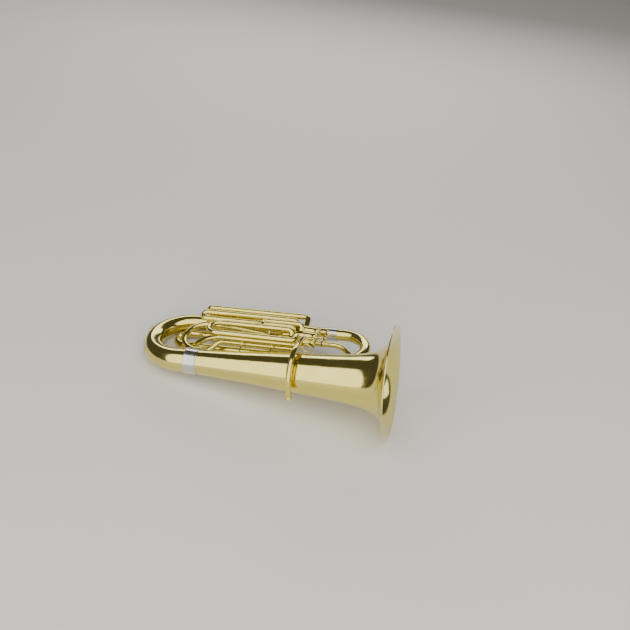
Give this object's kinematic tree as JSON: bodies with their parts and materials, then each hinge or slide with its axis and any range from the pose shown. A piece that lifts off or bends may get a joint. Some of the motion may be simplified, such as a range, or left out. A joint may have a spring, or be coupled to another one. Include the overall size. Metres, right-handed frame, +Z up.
{
  "type": "tuba",
  "caption": "Three-quarter size tuba lying on its back: flared brass bell, folded conical branches, top-action piston valves that press, pull-out slides, leadpipe and water key.",
  "frame": {"origin": "middle of the bounding box's lowest face, on the ground the tuba lies on", "axes": "+X towards the bell's mouth, +Z up; the tuba lies on its back with the valve side up, so the bell's axis rises 9.4 degrees towards +X"},
  "size_m": [0.8768, 0.4562, 0.3633],
  "materials": {
    "lacquered_brass": "polished yellow brass under clear lacquer",
    "nickel_silver": "polished nickel silver",
    "spring_steel": "bare spring wire",
    "cork": "natural cork, matte"
  },
  "bodies": {
    "frame": {"bell": "lacquered_brass", "bell_rim_wire": "lacquered_brass", "bell_ferrule": "nickel_silver", "bottom_bow": "lacquered_brass", "second_branch": "lacquered_brass", "second_branch_ferrule": "nickel_silver", "top_bow_ferrule": "nickel_silver", "top_bow": "lacquered_brass", "third_branch": "lacquered_brass", "third_branch_ferrule": "nickel_silver", "inner_bottom_bow": "lacquered_brass", "inner_return_branch": "lacquered_brass", "small_bottom_bow": "lacquered_brass", "tuning_link": "lacquered_brass", "tuning_slide_sleeves": "lacquered_brass", "tuning_bow": "lacquered_brass", "tuning_bow_ferrule": "nickel_silver", "small_top_bow": "lacquered_brass", "valve_1_casing": "lacquered_brass", "valve_1_bottom_cap": "lacquered_brass", "valve_1_top_cap": "lacquered_brass", "valve_2_casing": "lacquered_brass", "valve_2_bottom_cap": "lacquered_brass", "valve_2_top_cap": "lacquered_brass", "valve_3_casing": "lacquered_brass", "valve_3_bottom_cap": "lacquered_brass", "valve_3_top_cap": "lacquered_brass", "valve_1_spring": "spring_steel", "valve_2_spring": "spring_steel", "valve_3_spring": "spring_steel", "knuckle_1_2": "lacquered_brass", "knuckle_2_3": "lacquered_brass", "first_slide_sleeves": "lacquered_brass", "second_slide_sleeves": "lacquered_brass", "third_front_slide_sleeves": "lacquered_brass", "third_back_slide_sleeves": "lacquered_brass", "third_return_bow": "lacquered_brass", "exit_tube": "lacquered_brass", "leadpipe": "lacquered_brass", "mouthpiece_receiver": "lacquered_brass", "bell_brace_1": "lacquered_brass", "bell_brace_2": "lacquered_brass", "thumb_ring": "lacquered_brass", "bow_guard": "nickel_silver", "water_key_saddle": "lacquered_brass"},
    "valve_1": {"valve_1_piston": "nickel_silver", "valve_1_button": "lacquered_brass"},
    "valve_2": {"valve_2_piston": "nickel_silver", "valve_2_button": "lacquered_brass"},
    "valve_3": {"valve_3_piston": "nickel_silver", "valve_3_button": "lacquered_brass"},
    "tuning_slide": {"tuning_slide": "lacquered_brass"},
    "first_slide": {"first_slide": "lacquered_brass"},
    "second_slide": {"second_slide": "lacquered_brass", "second_slide_pull_ring": "lacquered_brass"},
    "third_front_slide": {"third_front_slide": "lacquered_brass"},
    "third_back_slide": {"third_back_slide": "lacquered_brass"},
    "water_key": {"water_key_lever": "lacquered_brass", "water_key_cork": "cork", "water_key_spring": "spring_steel"}
  },
  "joints": [
    {"name": "valve_1_press", "type": "slide", "parent": "frame", "child": "valve_1", "axis": [-0.9865, -0.0187, -0.1628], "range_m": [0, 0.017], "stiffness_N_per_m": 180, "springref_m": -0.012, "deforming": ["valve_1_spring"]},
    {"name": "valve_2_press", "type": "slide", "parent": "frame", "child": "valve_2", "axis": [-0.9865, -0.0187, -0.1628], "range_m": [0, 0.017], "stiffness_N_per_m": 180, "springref_m": -0.012, "deforming": ["valve_2_spring"]},
    {"name": "valve_3_press", "type": "slide", "parent": "frame", "child": "valve_3", "axis": [-0.9865, -0.0187, -0.1628], "range_m": [0, 0.017], "stiffness_N_per_m": 180, "springref_m": -0.012, "deforming": ["valve_3_spring"]},
    {"name": "tuning_slide_pull", "type": "slide", "parent": "frame", "child": "tuning_slide", "axis": [0.9865, 0.0187, 0.1628], "range_m": [0, 0.075]},
    {"name": "first_slide_pull", "type": "slide", "parent": "frame", "child": "first_slide", "axis": [-0.9865, -0.0187, -0.1628], "range_m": [0, 0.1]},
    {"name": "second_slide_pull", "type": "slide", "parent": "frame", "child": "second_slide", "axis": [-0.9865, -0.0187, -0.1628], "range_m": [0, 0.045]},
    {"name": "third_front_slide_pull", "type": "slide", "parent": "frame", "child": "third_front_slide", "axis": [-0.9865, -0.0187, -0.1628], "range_m": [0, 0.1]},
    {"name": "third_back_slide_pull", "type": "slide", "parent": "frame", "child": "third_back_slide", "axis": [-0.9865, -0.0187, -0.1628], "range_m": [0, 0.1]},
    {"name": "water_key_lift", "type": "hinge", "parent": "frame", "child": "water_key", "pos_m": [-0.18451, 0.00614, 0.03329], "axis": [-0.1638, 0.1129, 0.98], "range_deg": [0, 12], "stiffness_Nm_per_rad": 0.03, "springref_deg": -22.92}
  ]
}
